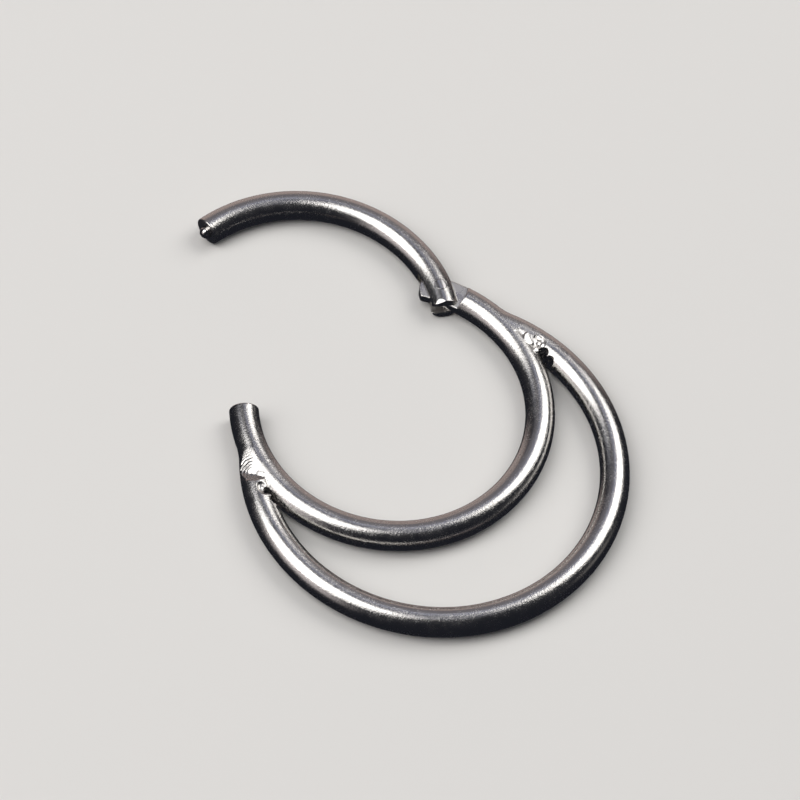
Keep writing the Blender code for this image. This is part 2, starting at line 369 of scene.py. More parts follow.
def weld_drops(plan, points, side, drops):
    """Distance to the drops of one weld."""
    rough = lumps(points, 0.008, 0.28, side)
    metal = np.full(len(points), FAR)
    for drop in drops:
        local = weld_local(plan, points, side, drop.place)
        shape = ellipsoid(local, np.array(drop.radii)) + rough
        if drop.flat is not None:
            way = np.array([*np.tan(np.radians(drop.lean)), 1.0])
            above = (local - (0.0, 0.0, drop.flat - drop.place[2])) @ (way / np.linalg.norm(way))
            shape = in_both(shape, above + 0.2 * rough, GROUND_EDGE)
        metal = in_either(metal, shape, BETWEEN_DROPS)
    return metal


def without_hollows(plan, points, metal, side, hollows, ragged, fillet):
    """Distance to the metal after the hollows of one weld are taken from it."""
    uneven = lumps(points, ragged, 0.25, 4.0)
    for hollow in hollows:
        local = weld_local(plan, points, side, hollow.place)
        metal = cut_from(metal, ellipsoid(local, np.array(hollow.radii)) + uneven, fillet)
    return metal


def weld_field(plan, points, hoop, crescent):
    """Distance to both wires and the metal of the welds, near the welds."""
    rho, turn = around(points, plan.hoop)
    level = points[:, 2] - plan.radius
    outwards = rho - plan.hoop_radius
    side = nearest_turn(turn, plan.crescent_angle)
    offset = np.abs(side)
    slit_start = plan.offset_at(plan.slit_spread)
    before = (offset - slit_start) * plan.hoop_radius + lumps(points, 0.05, 0.40, 3.0)
    after = (slit_start - offset) * plan.hoop_radius - plan.slit_length
    clear = plan.radius + plan.slit_width + lumps(points, 0.05, 0.30, 5.0)
    slit = np.hypot(outwards, level) - clear
    crescent = cut_from(crescent, np.maximum(slit, np.maximum(before, after)), GROUND_EDGE)

    # Up to a rough edge, the corner between the wires is filled and ground smooth.
    spread = plan.spread_at(turn)
    filled = np.hypot(outwards - np.clip(outwards, 0.0, spread), level) - plan.radius + FILL_SINK
    fill_end = (plan.offset_at(plan.ground_spread) - offset) * plan.hoop_radius
    fill_end += lumps(points, 0.04, 0.5, 7.0)
    fill_start = (offset - plan.offset_at(0.0)) * plan.hoop_radius
    filled = in_both(filled, np.maximum(fill_start, fill_end), 0.05)

    # The left weld is ground down further, to a slope that carries on from the round of the hoop and
    # runs out, along a slanting edge, where the wires part.
    ends = smooth_between(0.60, 1.08, spread + 0.7 * (outwards - 0.45) + lumps(points, 0.02, 0.3, 9.0))
    slope = outwards * math.sin(plan.grind_tilt) + level * math.cos(plan.grind_tilt)
    slope = slope - plan.radius - SLOPE_RISE - (0.03 + 0.5 * spread) * ends
    slope = np.where(side < 0.0, slope, -FAR)
    crescent = in_both(crescent, slope, GROUND_EDGE)
    filled = in_both(filled, slope, GROUND_EDGE)

    # At the outline, the notch where the crescent leaves the hoop is filled to a soft hollow.
    flank = np.maximum(1.0 - (level / plan.radius) ** 2, 0.0) * (1.0 - smooth_between(0.25, 0.60, spread))
    flank *= smooth_between(0.05, 0.40, outwards)
    welded = in_either(hoop, crescent, 0.0005 + 0.02 * smooth_between(0.0, 0.3, spread) + 0.14 * flank)
    welded = in_either(welded, filled, 0.012)
    for way, drops, hollows, pits in (
        (1.0, UPPER_WELD, UPPER_HOLLOWS, UPPER_PITS),
        (-1.0, LEFT_WELD, LEFT_HOLLOWS, LEFT_PITS),
    ):
        welded = without_hollows(plan, points, welded, way, hollows, 0.004, 0.03)
        welded = in_either(welded, weld_drops(plan, points, way, drops), DROP_FOOT)
        welded = without_hollows(plan, points, welded, way, pits, 0.020, 0.015)
    return welded


def hoops_field(plan, points):
    """Distance to the hoop and the crescent, welded together."""
    turn = around(points, plan.hoop)[1]
    level = points[:, 2] - plan.radius
    start = plan.latch_angle + plan.gap_angle
    hoop = wire_arc(plan, points, start, plan.hinge_angle + 2.0 * math.pi + plan.reach_angle, plan.edge)

    knuckle = around(points, plan.hinge)[0] - plan.knuckle
    pocket = np.maximum(knuckle, plan.tongue / 2.0 - np.abs(level))
    hoop = cut_from(hoop, pocket, plan.edge)
    hoop = cut_from(hoop, around(points, plan.hinge)[0] - plan.pin / 2.0 - plan.hairline, 0.01)
    hoop = in_both(hoop, end_round(plan, points, 1.0, plan.tongue_round), plan.edge)
    socket_radius = plan.tip / 2.0 + plan.socket_clearance
    socket = bore_distance(plan, points, plan.latch_angle, socket_radius, -1.0, plan.socket_depth)
    hoop = cut_from(hoop, socket, plan.edge)

    crescent = crescent_arc(plan, points)
    joined = np.minimum(hoop, crescent)
    offset = np.abs(nearest_turn(turn, plan.crescent_angle))
    near = (offset < plan.offset_at(0.0) + 0.12) & (offset > plan.offset_at(1.80))
    joined[near] = weld_field(plan, points[near], hoop[near], crescent[near])
    return joined


# The flat filed over the inner shoulder of the fork's cut end: the way that it faces, as parts forwards,
# inwards and upwards, a point that it goes through, as far inwards, back and up from the middle of the
# wire's cut end, how far back from there it may reach, and the rounding of its edge, in millimetres.
FILED_WAY = (0.283, 0.384, 0.879)
FILED_POINT = (0.24, 0.19, 0.558)
FILED_REACH = 0.5
FILED_EDGE = 0.006


def gate_field(plan, points):
    """Distance to the gate, drawn closed."""
    level = points[:, 2] - plan.radius
    gate = wire_arc(plan, points, plan.hinge_angle - plan.reach_angle, plan.latch_angle, plan.edge)
    gate = in_both(gate, end_round(plan, points, -1.0, plan.fork_round), plan.edge)
    radial = plan.heading(plan.hinge_angle - plan.reach_angle)
    forward = np.array([radial[1], -radial[0]])
    forwards, inwards, upwards = FILED_WAY
    way = np.append(forwards * forward - inwards * radial, upwards)
    inwards, back, rise = FILED_POINT
    corner = plan.on_hoop(plan.hinge_angle - plan.reach_angle, -inwards) - back * forward
    above = (points - np.append(corner, plan.radius + rise)) @ way
    near_end = (points[:, :2] - corner) @ forward > -FILED_REACH
    gate = in_both(gate, np.where(near_end, above, -1.0), FILED_EDGE)

    knuckle = around(points, plan.hinge)[0] - plan.knuckle
    slot = np.maximum(knuckle, np.abs(level) - plan.tongue / 2.0 - plan.running_gap)
    gate = cut_from(gate, slot, 0.02)
    gate = cut_from(gate, around(points, plan.hinge)[0] - plan.pin / 2.0 - plan.hairline, 0.01)
    seat = plan.tip / 2.0 + plan.hairline
    bore = bore_distance(plan, points, plan.latch_angle, seat, -plan.tip_seat - plan.hairline, 1.0)
    return cut_from(gate, bore, 0.02)


def pin_field(plan, points):
    """Distance to the hinge pin, whose heads are ground a hair below the round of the wire."""
    rho = around(points, plan.hoop)[0]
    wire = np.hypot(rho - plan.hoop_radius, points[:, 2] - plan.radius) - plan.radius + 0.003
    return in_both(wire, around(points, plan.hinge)[0] - plan.pin / 2.0, 0.008)


def slopes(field, points, step=0.003):
    """Gradient of a field by central differences."""
    result = np.empty_like(points)
    for axis in range(3):
        offset = np.zeros(3)
        offset[axis] = step
        result[:, axis] = (field(points + offset) - field(points - offset)) / (2.0 * step)
    return result


def settle(field, points, longest, flat_axes=None):
    """Moves points onto the field's surface; those with a flat axis stay in the plane across it."""
    for _ in range(4):
        gradient = slopes(field, points)
        if flat_axes is not None:
            gradient -= (gradient * flat_axes).sum(axis=1, keepdims=True) * flat_axes
        steep = np.maximum((gradient ** 2).sum(axis=1), 0.2)
        moves = -gradient * (field(points) / steep)[:, None]
        size = np.maximum(np.linalg.norm(moves, axis=1, keepdims=True), 1e-12)
        points = points + moves * np.minimum(1.0, longest / size)
    return points


def surface_net(field, centre, radii, turns, heights, cell, cell_along):
    """Vertices and faces over a field's surface in a curved block around an upright axis."""
    counts = (
        round((radii[1] - radii[0]) / cell),
        round((turns[1] - turns[0]) * (radii[0] + radii[1]) / 2.0 / cell_along),
        round((heights[1] - heights[0]) / cell),
    )
    lows = np.array([radii[0], turns[0], heights[0]])
    sizes = np.array([radii[1], turns[1], heights[1]]) - lows
    steps = sizes / np.array(counts)

    def place(grid):
        curved = lows + grid * steps
        x = centre[0] + curved[:, 0] * np.cos(curved[:, 1])
        y = centre[1] + curved[:, 0] * np.sin(curved[:, 1])
        return np.stack([x, y, curved[:, 2]], axis=1)

    shape = tuple(n + 1 for n in counts)
    grid = np.stack(np.meshgrid(*[np.arange(n) for n in shape], indexing="ij"), axis=-1)
    values = field(place(grid.reshape(-1, 3).astype(float))).reshape(shape)
    inside = values < 0.0

    corners = [(i, j, k) for i in (0, 1) for j in (0, 1) for k in (0, 1)]
    part = {c: tuple(slice(c[a], c[a] + counts[a]) for a in range(3)) for c in corners}
    full = sum(inside[part[c]].astype(np.int8) for c in corners)
    mixed = (full > 0) & (full < 8)
    number = np.full(counts, -1)
    number[mixed] = np.arange(mixed.sum())

    total = np.zeros((mixed.sum(), 3))
    crossings = np.zeros(mixed.sum())
    for first in corners:
        for axis in range(3):
            if first[axis]:
                continue
            second = tuple(1 if a == axis else first[a] for a in range(3))
            a = values[part[first]][mixed]
            b = values[part[second]][mixed]
            crossed = (a < 0.0) != (b < 0.0)
            share = np.where(crossed, a / np.where(crossed, a - b, 1.0), 0.0)
            spot = np.array(first, float) + share[:, None] * np.eye(3)[axis]
            total += np.where(crossed[:, None], spot, 0.0)
            crossings += crossed
    cells = np.argwhere(mixed)
    local = cells + total / crossings[:, None]

    # The first and last layers go to the block's end planes, so that the seams are flat.
    last = counts[1] - 1
    at_end = (cells[:, 1] == 0) | (cells[:, 1] == last)
    local[cells[:, 1] == 0, 1] = 0.0
    local[cells[:, 1] == last, 1] = counts[1]
    points = place(local)
    turn = lows[1] + local[:, 1] * steps[1]
    flat = np.stack([-np.sin(turn), np.cos(turn), np.zeros(len(turn))], axis=1) * at_end[:, None]
    points = settle(field, points, 0.4 * cell, flat)

    faces = []
    for axis in range(3):
        ends = []
        for shift in (0, 1):
            window = [slice(1, n) for n in counts]
            window[axis] = slice(shift, counts[axis] + shift)
            ends.append(inside[tuple(window)])
        second, third = (axis + 1) % 3, (axis + 2) % 3
        around_edge = []
        for back_second, back_third in ((1, 1), (0, 1), (0, 0), (1, 0)):
            window = [slice(0, counts[axis])] * 3
            window[second] = slice(1 - back_second, counts[second] - back_second)
            window[third] = slice(1 - back_third, counts[third] - back_third)
            around_edge.append(number[tuple(window)])
        quads = np.stack(around_edge, axis=-1)
        faces.append(quads[ends[0] & ~ends[1]])
        faces.append(quads[ends[1] & ~ends[0]][:, ::-1])
    faces = np.concatenate(faces)
    return points, faces[(faces >= 0).all(axis=1)]


def add_object(name, data):
    """A new object with its data, in the scene."""
    obj = bpy.data.objects.new(name, data)
    bpy.context.scene.collection.objects.link(obj)
    return obj


def wire_tree():
    """Geometry Nodes for a stretch of round wire along an arc, open at both ends."""
    tree = bpy.data.node_groups.new("wire_along_arc", "GeometryNodeTree")
    names = {
        "Ring Radius": "NodeSocketFloat",
        "Start": "NodeSocketFloat",
        "Sweep": "NodeSocketFloat",
        "Wire Radius": "NodeSocketFloat",
        "Centre": "NodeSocketVector",
        "Points": "NodeSocketInt",
        "Sides": "NodeSocketInt",
        "Finish": "NodeSocketMaterial",
    }
    for name, kind in names.items():
        tree.interface.new_socket(name, in_out="INPUT", socket_type=kind)
    tree.interface.new_socket("Geometry", in_out="OUTPUT", socket_type="NodeSocketGeometry")
    given = add_node(tree, "NodeGroupInput").outputs
    arc = add_node(
        tree,
        "GeometryNodeCurveArc",
        {"mode": "RADIUS"},
        {"Resolution": given["Points"], "Radius": given["Ring Radius"], "Start Angle": given["Start"],
         "Sweep Angle": given["Sweep"]},
    )
    section = add_node(
        tree,
        "GeometryNodeCurvePrimitiveCircle",
        {"mode": "RADIUS"},
        {"Resolution": given["Sides"], "Radius": given["Wire Radius"]},
    )
    swept = add_node(
        tree,
        "GeometryNodeCurveToMesh",
        inputs={"Curve": arc.outputs["Curve"], "Profile Curve": section.outputs["Curve"]},
    )
    placed = add_node(
        tree,
        "GeometryNodeTransform",
        inputs={"Geometry": swept.outputs["Mesh"], "Translation": given["Centre"]},
    )
    real = add_node(tree, "GeometryNodeRealizeInstances", inputs={"Geometry": placed.outputs["Geometry"]})
    coated = add_node(
        tree,
        "GeometryNodeSetMaterial",
        inputs={"Geometry": real.outputs["Geometry"], "Material": given["Finish"]},
    )
    add_node(tree, "NodeGroupOutput", inputs={"Geometry": coated.outputs["Geometry"]})
    return tree


def swept_wire(plan, tree, finish, centre, ring_radius, start, end):
    """Vertices in millimetres and faces of a stretch of wire, made by the Geometry Nodes tree."""
    holder = add_object("wire_stretch", bpy.data.meshes.new("wire_stretch"))
    modifier = holder.modifiers.new("wire", "NODES")
    modifier.node_group = tree
    steps = max(4, round((end - start) * ring_radius / plan.wire_step))
    values = {
        "Ring Radius": ring_radius * MM,
        "Start": start,
        "Sweep": end - start,
        "Wire Radius": plan.radius * MM,
        "Centre": (centre[0] * MM, centre[1] * MM, plan.radius * MM),
        "Points": steps + 1,
        "Sides": plan.wire_sides,
        "Finish": finish,
    }
    for item in tree.interface.items_tree:
        if item.in_out == "INPUT":
            modifier[item.identifier] = values[item.name]
    holder.update_tag()
    depsgraph = bpy.context.evaluated_depsgraph_get()
    mesh = bpy.data.meshes.new_from_object(holder.evaluated_get(depsgraph))
    points = np.empty(len(mesh.vertices) * 3)
    mesh.vertices.foreach_get("co", points)
    faces = [tuple(p.vertices) for p in mesh.polygons]
    bpy.data.objects.remove(holder)
    bpy.data.meshes.remove(mesh)
    return points.reshape(-1, 3) / MM, faces


def connected(left, neighbours):
    """The items of a set, in groups whose items reach each other."""
    groups = []
    while left:
        group = [left.pop()]
        for item in group:
            for other in neighbours(item):
                if other in left:
                    left.remove(other)
                    group.append(other)
        groups.append(group)
    return groups


def open_loops(bm):
    """The open edge loops of a mesh, each with the middle of its points."""
    edges = {e for e in bm.edges if e.is_boundary}
    loops = []
    for loop in connected(edges, lambda e: [other for v in e.verts for other in v.link_edges]):
        middle = sum((e.verts[0].co + e.verts[1].co for e in loop), Vector()) / (2.0 * len(loop))
        loops.append((middle, loop))
    return loops


def drop_crumbs(bm):
    """Removes bits of weld metal that hang free of the piece."""
    pieces = connected(set(bm.faces), lambda f: [other for e in f.edges for other in e.link_faces])
    pieces.sort(key=len)
    for piece in pieces[:-1]:
        bmesh.ops.delete(bm, geom=piece, context="FACES")


def join_seams(bm):
    """Bridges each open loop to the nearest one, so that the stretches become one closed surface."""
    loops = open_loops(bm)
    if not loops:
        return
    if len(loops) % 2:
        raise RuntimeError(f"{len(loops)} open loops can't be paired")
    while loops:
        middle, loop = loops.pop()
        nearest = min(range(len(loops)), key=lambda i: (loops[i][0] - middle).length)
        other = loops.pop(nearest)[1]
        bmesh.ops.bridge_loops(bm, edges=loop + other)
    bmesh.ops.triangulate(bm, faces=[f for f in bm.faces if len(f.verts) > 4])


# Where the crescent's lengths start in the wire's pattern, in millimetres.
CRESCENT_START = 60.0

# Places in a weld, in the same terms as a spot's: the middle of its heat, and where the torch stood.
HEAT_PLACE = (0.66, 0.40, 0.1)
TORCH_PLACE = (0.42, 0.61, 0.35)


def straightened(plan, points):
    """Places along the straightened wire: length along it, outwards and upwards from its middle.

    The crescent's lengths start far from the hoop's, so that the two wires don't share a pattern.
    """
    rho, turn = around(points, plan.hoop)
    rho_c, turn_c = around(points, plan.crescent)
    level = points[:, 2] - plan.radius
    near_crescent = np.hypot(rho_c - plan.crescent_radius, level) < np.hypot(rho - plan.hoop_radius, level)
    outside = np.abs(nearest_turn(turn_c, plan.crescent_angle)) < plan.half_span()
    crescent = near_crescent & outside
    along = np.where(
        crescent,
        nearest_turn(turn_c, plan.crescent_angle) * plan.crescent_radius + CRESCENT_START,
        nearest_turn(turn, plan.crescent_angle) * plan.hoop_radius,
    )
    outwards = np.where(crescent, rho_c - plan.crescent_radius, rho - plan.hoop_radius)
    return np.stack([along, outwards, level], axis=1)


def weld_heat(plan, points):
    """How much the heat of the welds dulled the steel, from 0 to 1."""
    heat = np.zeros(len(points))
    for side in (1.0, -1.0):
        away = np.linalg.norm(weld_local(plan, points, side, HEAT_PLACE) * (1.0, 0.75, 0.6), axis=1)
        heat = np.maximum(heat, 1.0 - smooth_between(0.35, 1.15, away))
    return heat


def torch_ripples(plan, points):
    """Distance from where the torch stood at the left weld, and how strong its ripples are there."""
    local = weld_local(plan, points, -1.0, TORCH_PLACE)
    away = np.linalg.norm(local, axis=1)
    outer = smooth_between(-0.05, 0.25, 0.79 * local[:, 0] - 0.61 * local[:, 1])
    ring = smooth_between(0.10, 0.24, away) * (1.0 - smooth_between(0.45, 0.75, away))
    return away + lumps(points, 0.025, 0.5, 6.0), ring * outer


def milled(plan, points, normals):
    """1 on the cut faces of the hinge and of the latch, 0 on the round of the wire."""
    rho, turn = around(points, plan.hoop)
    outwards = (points[:, :2] - plan.hoop) / rho[:, None]
    level = points[:, 2] - plan.radius
    round_way = np.concatenate([outwards * (rho - plan.hoop_radius)[:, None], level[:, None]], axis=1)
    round_way /= np.maximum(np.linalg.norm(round_way, axis=1, keepdims=True), 1e-9)
    off_round = 1.0 - smooth_between(0.80, 0.97, (normals * round_way).sum(axis=1))
    near_hinge = around(points, plan.hinge)[0] < plan.knuckle + 0.15
    near_latch = np.abs(nearest_turn(turn, plan.latch_angle)) * plan.hoop_radius < plan.tip_seat + 0.1
    return off_round * (near_hinge | near_latch)


def steel_object(name, plan, field, blocks, stretches, finish, turn=0.0):
    """One closed mesh from its blocks and stretches, turned about the hinge and shaded by its field."""
    tree = wire_tree()
    parts = []
    for block in blocks:
        parts.append(surface_net(field, plan.hoop, **block))
    for centre, ring_radius, start, end in stretches:
        points, faces = swept_wire(plan, tree, finish, centre, ring_radius, start, end)
        parts.append((settle(field, points, 0.02), faces))
    bpy.data.node_groups.remove(tree)

    bm = bmesh.new()
    for points, faces in parts:
        made = [bm.verts.new(p) for p in points]
        for face in faces:
            bm.faces.new([made[i] for i in face])
    bmesh.ops.delete(bm, geom=[v for v in bm.verts if not v.link_faces], context="VERTS")
    # Where two sheets touch along one short edge, that edge is closed up to a point.
    bmesh.ops.collapse(bm, edges=[e for e in bm.edges if len(e.link_faces) > 2])
    join_seams(bm)
    drop_crumbs(bm)
    bmesh.ops.recalc_face_normals(bm, faces=bm.faces[:])
    mesh = bpy.data.meshes.new(name)
    bm.to_mesh(mesh)
    bm.free()

    points = np.empty(len(mesh.vertices) * 3)
    mesh.vertices.foreach_get("co", points)
    points = points.reshape(-1, 3)
    normals = slopes(field, points)
    normals /= np.maximum(np.linalg.norm(normals, axis=1, keepdims=True), 1e-9)
    away, strength = torch_ripples(plan, points)
    for label, kind, key, values in (
        ("straight_wire", "FLOAT_VECTOR", "vector", straightened(plan, points) * MM),
        ("torch_way", "FLOAT", "value", away * MM),
        ("torch_ripples", "FLOAT", "value", strength),
        ("weld_heat", "FLOAT", "value", weld_heat(plan, points)),
        ("milled", "FLOAT", "value", milled(plan, points, normals)),
    ):
        attribute = mesh.attributes.new(label, kind, "POINT")
        attribute.data.foreach_set(key, np.ascontiguousarray(values, np.float32).ravel())

    spin = np.array(Matrix.Rotation(turn, 3, "Z"))
    pivot = np.array([plan.hinge[0], plan.hinge[1], 0.0])
    turned = (points - pivot) @ spin.T + pivot
    mesh.vertices.foreach_set("co", (turned * MM).astype(np.float32).ravel())
    mesh.shade_smooth()
    mesh.update()
    mesh.normals_split_custom_set_from_vertices((normals @ spin.T).tolist())
    mesh.materials.append(finish)
    return add_object(name, mesh)


def lathed(name, place, outline, sides, finish):
    """A turned piece: an outline of radii and heights, from one pole to the other, put in its place."""
    bm = bmesh.new()
    rings = []
    for radius, height in outline:
        if radius == 0.0:
            rings.append([bm.verts.new(place @ Vector((0.0, 0.0, height * MM)))] * sides)
            continue
        ring = []
        for i in range(sides):
            turn = 2.0 * math.pi * i / sides
            spot = Vector((radius * math.cos(turn), radius * math.sin(turn), height)) * MM
            ring.append(bm.verts.new(place @ spot))
        rings.append(ring)
    for lower, upper in zip(rings, rings[1:]):
        for i in range(sides):
            j = (i + 1) % sides
            corners = []
            for vertex in (lower[i], lower[j], upper[j], upper[i]):
                if vertex not in corners:
                    corners.append(vertex)
            bm.faces.new(corners)
    bmesh.ops.recalc_face_normals(bm, faces=bm.faces[:])
    mesh = bpy.data.meshes.new(name)
    bm.to_mesh(mesh)
    bm.free()
    mesh.shade_smooth()
    mesh.materials.append(finish)
    return add_object(name, mesh)


def coated(name, colour, **values):
    """A new material of one colour and other shader values, with its node tree and its shader."""
    material = bpy.data.materials.new(name)
    material.use_nodes = True
    shader = material.node_tree.nodes["Principled BSDF"]
    shader.inputs["Base Color"].default_value = linear_colour(colour)
    for label, value in values.items():
        shader.inputs[label.replace("_", " ")].default_value = value
    return material, material.node_tree, shader


def tumbled_steel(name, scene):
    """Surgical steel wire, drawn, bent and tumble polished.

    Tumbling leaves a bright skin with a faint cloudy haze, fine drawing lines along the wire and
    random nicks; the cut faces at the hinge are duller, and the welds are slightly clouded by heat.
    Where the torch stood at the left weld, the metal froze in fine ripples.
    """
    material, tree, shader = coated(name, scene.ring_finish.steel, Metallic=1.0)
    straight = add_node(tree, "ShaderNodeAttribute", {"attribute_name": "straight_wire"}).outputs["Vector"]
    heat = add_node(tree, "ShaderNodeAttribute", {"attribute_name": "weld_heat"}).outputs["Fac"]
    cut = add_node(tree, "ShaderNodeAttribute", {"attribute_name": "milled"}).outputs["Fac"]
    here = add_node(tree, "ShaderNodeTexCoord").outputs["Object"]

    # Haze in patches of about 0.5 mm, with specks of about 0.07 mm in it.
    haze = add_node(
        tree,
        "ShaderNodeTexNoise",
        inputs={"Vector": here, "Scale": 2.0 / MM, "Detail": 3.0, "Roughness": 0.6},
    ).outputs["Fac"]
    specks = add_node(
        tree,
        "ShaderNodeTexNoise",
        inputs={"Vector": here, "Scale": 14.0 / MM, "Detail": 2.0, "Roughness": 0.7},
    ).outputs["Fac"]
    # Drawing lines: about 0.05 mm across the wire and 3 mm along it.
    lined = add_node(
        tree, "ShaderNodeMapping", inputs={"Vector": straight, "Scale": (0.35 / MM, 22.0 / MM, 22.0 / MM)}
    ).outputs["Vector"]
    lines = add_node(
        tree, "ShaderNodeTexNoise", inputs={"Vector": lined, "Scale": 1.0, "Detail": 2.0}
    ).outputs["Fac"]

    # The haze sets how sharp the reflections are; specks, heat and the cutter each blur them further.
    cloudy = add_node(
        tree,
        "ShaderNodeMapRange",
        inputs={"Value": haze, "From Min": 0.35, "From Max": 0.70, "To Min": 0.13, "To Max": 0.22},
    ).outputs["Result"]
    pits = add_node(
        tree,
        "ShaderNodeMapRange",
        inputs={"Value": specks, "From Min": 0.54, "From Max": 0.66, "To Min": 0.04, "To Max": 0.11},
    ).outputs["Result"]
    speckled = add_node(tree, "ShaderNodeMath", {"operation": "ADD"}, {0: cloudy, 1: pits}).outputs[0]
    heated = add_node(
        tree, "ShaderNodeMath", {"operation": "MULTIPLY_ADD"}, {0: heat, 1: 0.06, 2: speckled}
    ).outputs[0]
    roughness = add_node(
        tree, "ShaderNodeMath", {"operation": "MULTIPLY_ADD"}, {0: cut, 1: 0.08, 2: heated}
    ).outputs[0]
    tree.links.new(roughness, shader.inputs["Roughness"])

    drawn = add_node(
        tree, "ShaderNodeBump", inputs={"Height": lines, "Strength": 0.6, "Distance": 0.004 * MM}
    ).outputs["Normal"]
    nicked = add_node(
        tree,
        "ShaderNodeBump",
        inputs={"Height": specks, "Strength": 1.0, "Distance": 0.006 * MM, "Normal": drawn},
    ).outputs["Normal"]
    # Ripples of the torch, in rings round where it stood.
    way = add_node(tree, "ShaderNodeAttribute", {"attribute_name": "torch_way"}).outputs["Fac"]
    strength = add_node(tree, "ShaderNodeAttribute", {"attribute_name": "torch_ripples"}).outputs["Fac"]
    per_length = 2.0 * math.pi / scene.ring_sizes.ripple_spacing
    turns = add_node(tree, "ShaderNodeMath", {"operation": "MULTIPLY"}, {0: way, 1: per_length}).outputs[0]
    wave = add_node(tree, "ShaderNodeMath", {"operation": "SINE"}, {0: turns}).outputs[0]
    ripples = add_node(tree, "ShaderNodeMath", {"operation": "MULTIPLY"}, {0: wave, 1: strength}).outputs[0]
    rippled = add_node(
        tree,
        "ShaderNodeBump",
        inputs={"Height": ripples, "Strength": 1.0, "Distance": 0.010 * MM, "Normal": nicked},
    ).outputs["Normal"]
    tree.links.new(rippled, shader.inputs["Normal"])
    return material


def turned_steel(name, colour, low, high):
    """Bright steel, turned on a lathe or ground flush, rubbed in specks between two roughnesses."""
    material, tree, shader = coated(name, colour, Metallic=1.0)
    here = add_node(tree, "ShaderNodeTexCoord").outputs["Object"]
    rubbed = add_node(
        tree,
        "ShaderNodeTexNoise",
        inputs={"Vector": here, "Scale": 9.0 / MM, "Detail": 3.0, "Roughness": 0.6},
    ).outputs["Fac"]
    roughness = add_node(
        tree,
        "ShaderNodeMapRange",
        inputs={"Value": rubbed, "From Min": 0.3, "From Max": 0.7, "To Min": low, "To Max": high},
    ).outputs["Result"]
    tree.links.new(roughness, shader.inputs["Roughness"])
    bumps = add_node(
        tree, "ShaderNodeBump", inputs={"Height": rubbed, "Strength": 0.3, "Distance": 0.0015 * MM}
    ).outputs["Normal"]
    tree.links.new(bumps, shader.inputs["Normal"])
    return material


# Millimetres that the meshed blocks keep clear round the wire and round the pin, and that are left open
# for the seam between a block and a swept stretch.
MARGIN = 0.065
PIN_MARGIN = 0.05
SEAM = 0.05

# Cells of the blocks across and along the wire, in millimetres.
FINE_CELLS = {"cell": 0.030, "cell_along": 0.040}
GATE_CELLS = {"cell": 0.030, "cell_along": 0.035}
WELD_CELLS = {"cell": 0.035, "cell_along": 0.045}
PIN_CELLS = {"cell": 0.021, "cell_along": 0.021}

# Angles around the hoop: how far a block goes on past a cut end, how far it runs on along the plain wire
# beyond the tip's seat, the fork's slot, the tongue's pocket and a weld, and how far the block that holds
# the socket reaches from the free end.
PAST_END = math.radians(1.0)
PAST_SEAT = math.radians(2.0)
PAST_SLOT = math.radians(4.0)
PAST_POCKET = math.radians(5.0)
PAST_WELD = math.radians(6.0)
SOCKET_BLOCK = math.radians(6.0)

# Spread of the wires where the blocks of the welds end, and how much farther along the crescent its
# swept stretch starts, for its seam and the slant at which a block's end cuts it, in millimetres.
BLOCK_SPREAD = 1.72
CRESCENT_SEAM = 0.34


class RING_OT_hoops(bpy.types.Operator):
    """Builds the fixed hoop and the crescent welded to it"""

    bl_idname = "ring.hoops"
    bl_label = "Welded Hoops"

    def execute(self, context):
        plan = RingPlan(context.scene.ring_sizes)
        finish = tumbled_steel("tumble_polished_316_steel_hoops", context.scene)
        full = 2.0 * math.pi
        inner = plan.hoop_radius - plan.radius - MARGIN
        outer = plan.hoop_radius + plan.radius + MARGIN
        heights = (-MARGIN, plan.wire + MARGIN)
        latch = plan.latch_angle + plan.gap_angle
        middle = plan.crescent_angle + full
        left_open = middle - plan.offset_at(BLOCK_SPREAD)
        upper_open = middle + plan.offset_at(BLOCK_SPREAD)
        left_closed = middle - plan.offset_at(0.0) - PAST_WELD
        upper_closed = middle + plan.offset_at(0.0) + PAST_WELD
        free_end = latch + SOCKET_BLOCK
        knuckle_start = plan.hinge_angle + full - plan.knuckle / plan.hoop_radius - PAST_POCKET
        tongue_end = plan.hinge_angle + full + plan.reach_angle + PAST_END
        fine = {"radii": (inner, outer), "heights": heights, **FINE_CELLS}
        weld = {"radii": (inner, outer + BLOCK_SPREAD), "heights": heights, **WELD_CELLS}
        blocks = [
            {"turns": (latch - PAST_END, free_end), **fine},
            {"turns": (left_closed, left_open), **weld},
            {"turns": (upper_open, upper_closed), **weld},
            {"turns": (knuckle_start, tongue_end), **fine},
        ]
        seam = SEAM / plan.hoop_radius
        slant = CRESCENT_SEAM / plan.crescent_radius
        stretches = [
            (plan.hoop, plan.hoop_radius, free_end + seam, left_closed - seam),
            (plan.hoop, plan.hoop_radius, left_open + seam, upper_open - seam),
            (plan.hoop, plan.hoop_radius, upper_closed + seam, knuckle_start - seam),
            (
                plan.crescent,
                plan.crescent_radius,
                plan.crescent_turn(left_open) + slant,
                plan.crescent_turn(upper_open) - slant,
            ),
        ]
        hoops = steel_object(
            "polished_hoops", plan, lambda p: hoops_field(plan, p), blocks, stretches, finish
        )
        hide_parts("welded_hoops")
        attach(hoops, "hoops")
        return {"FINISHED"}


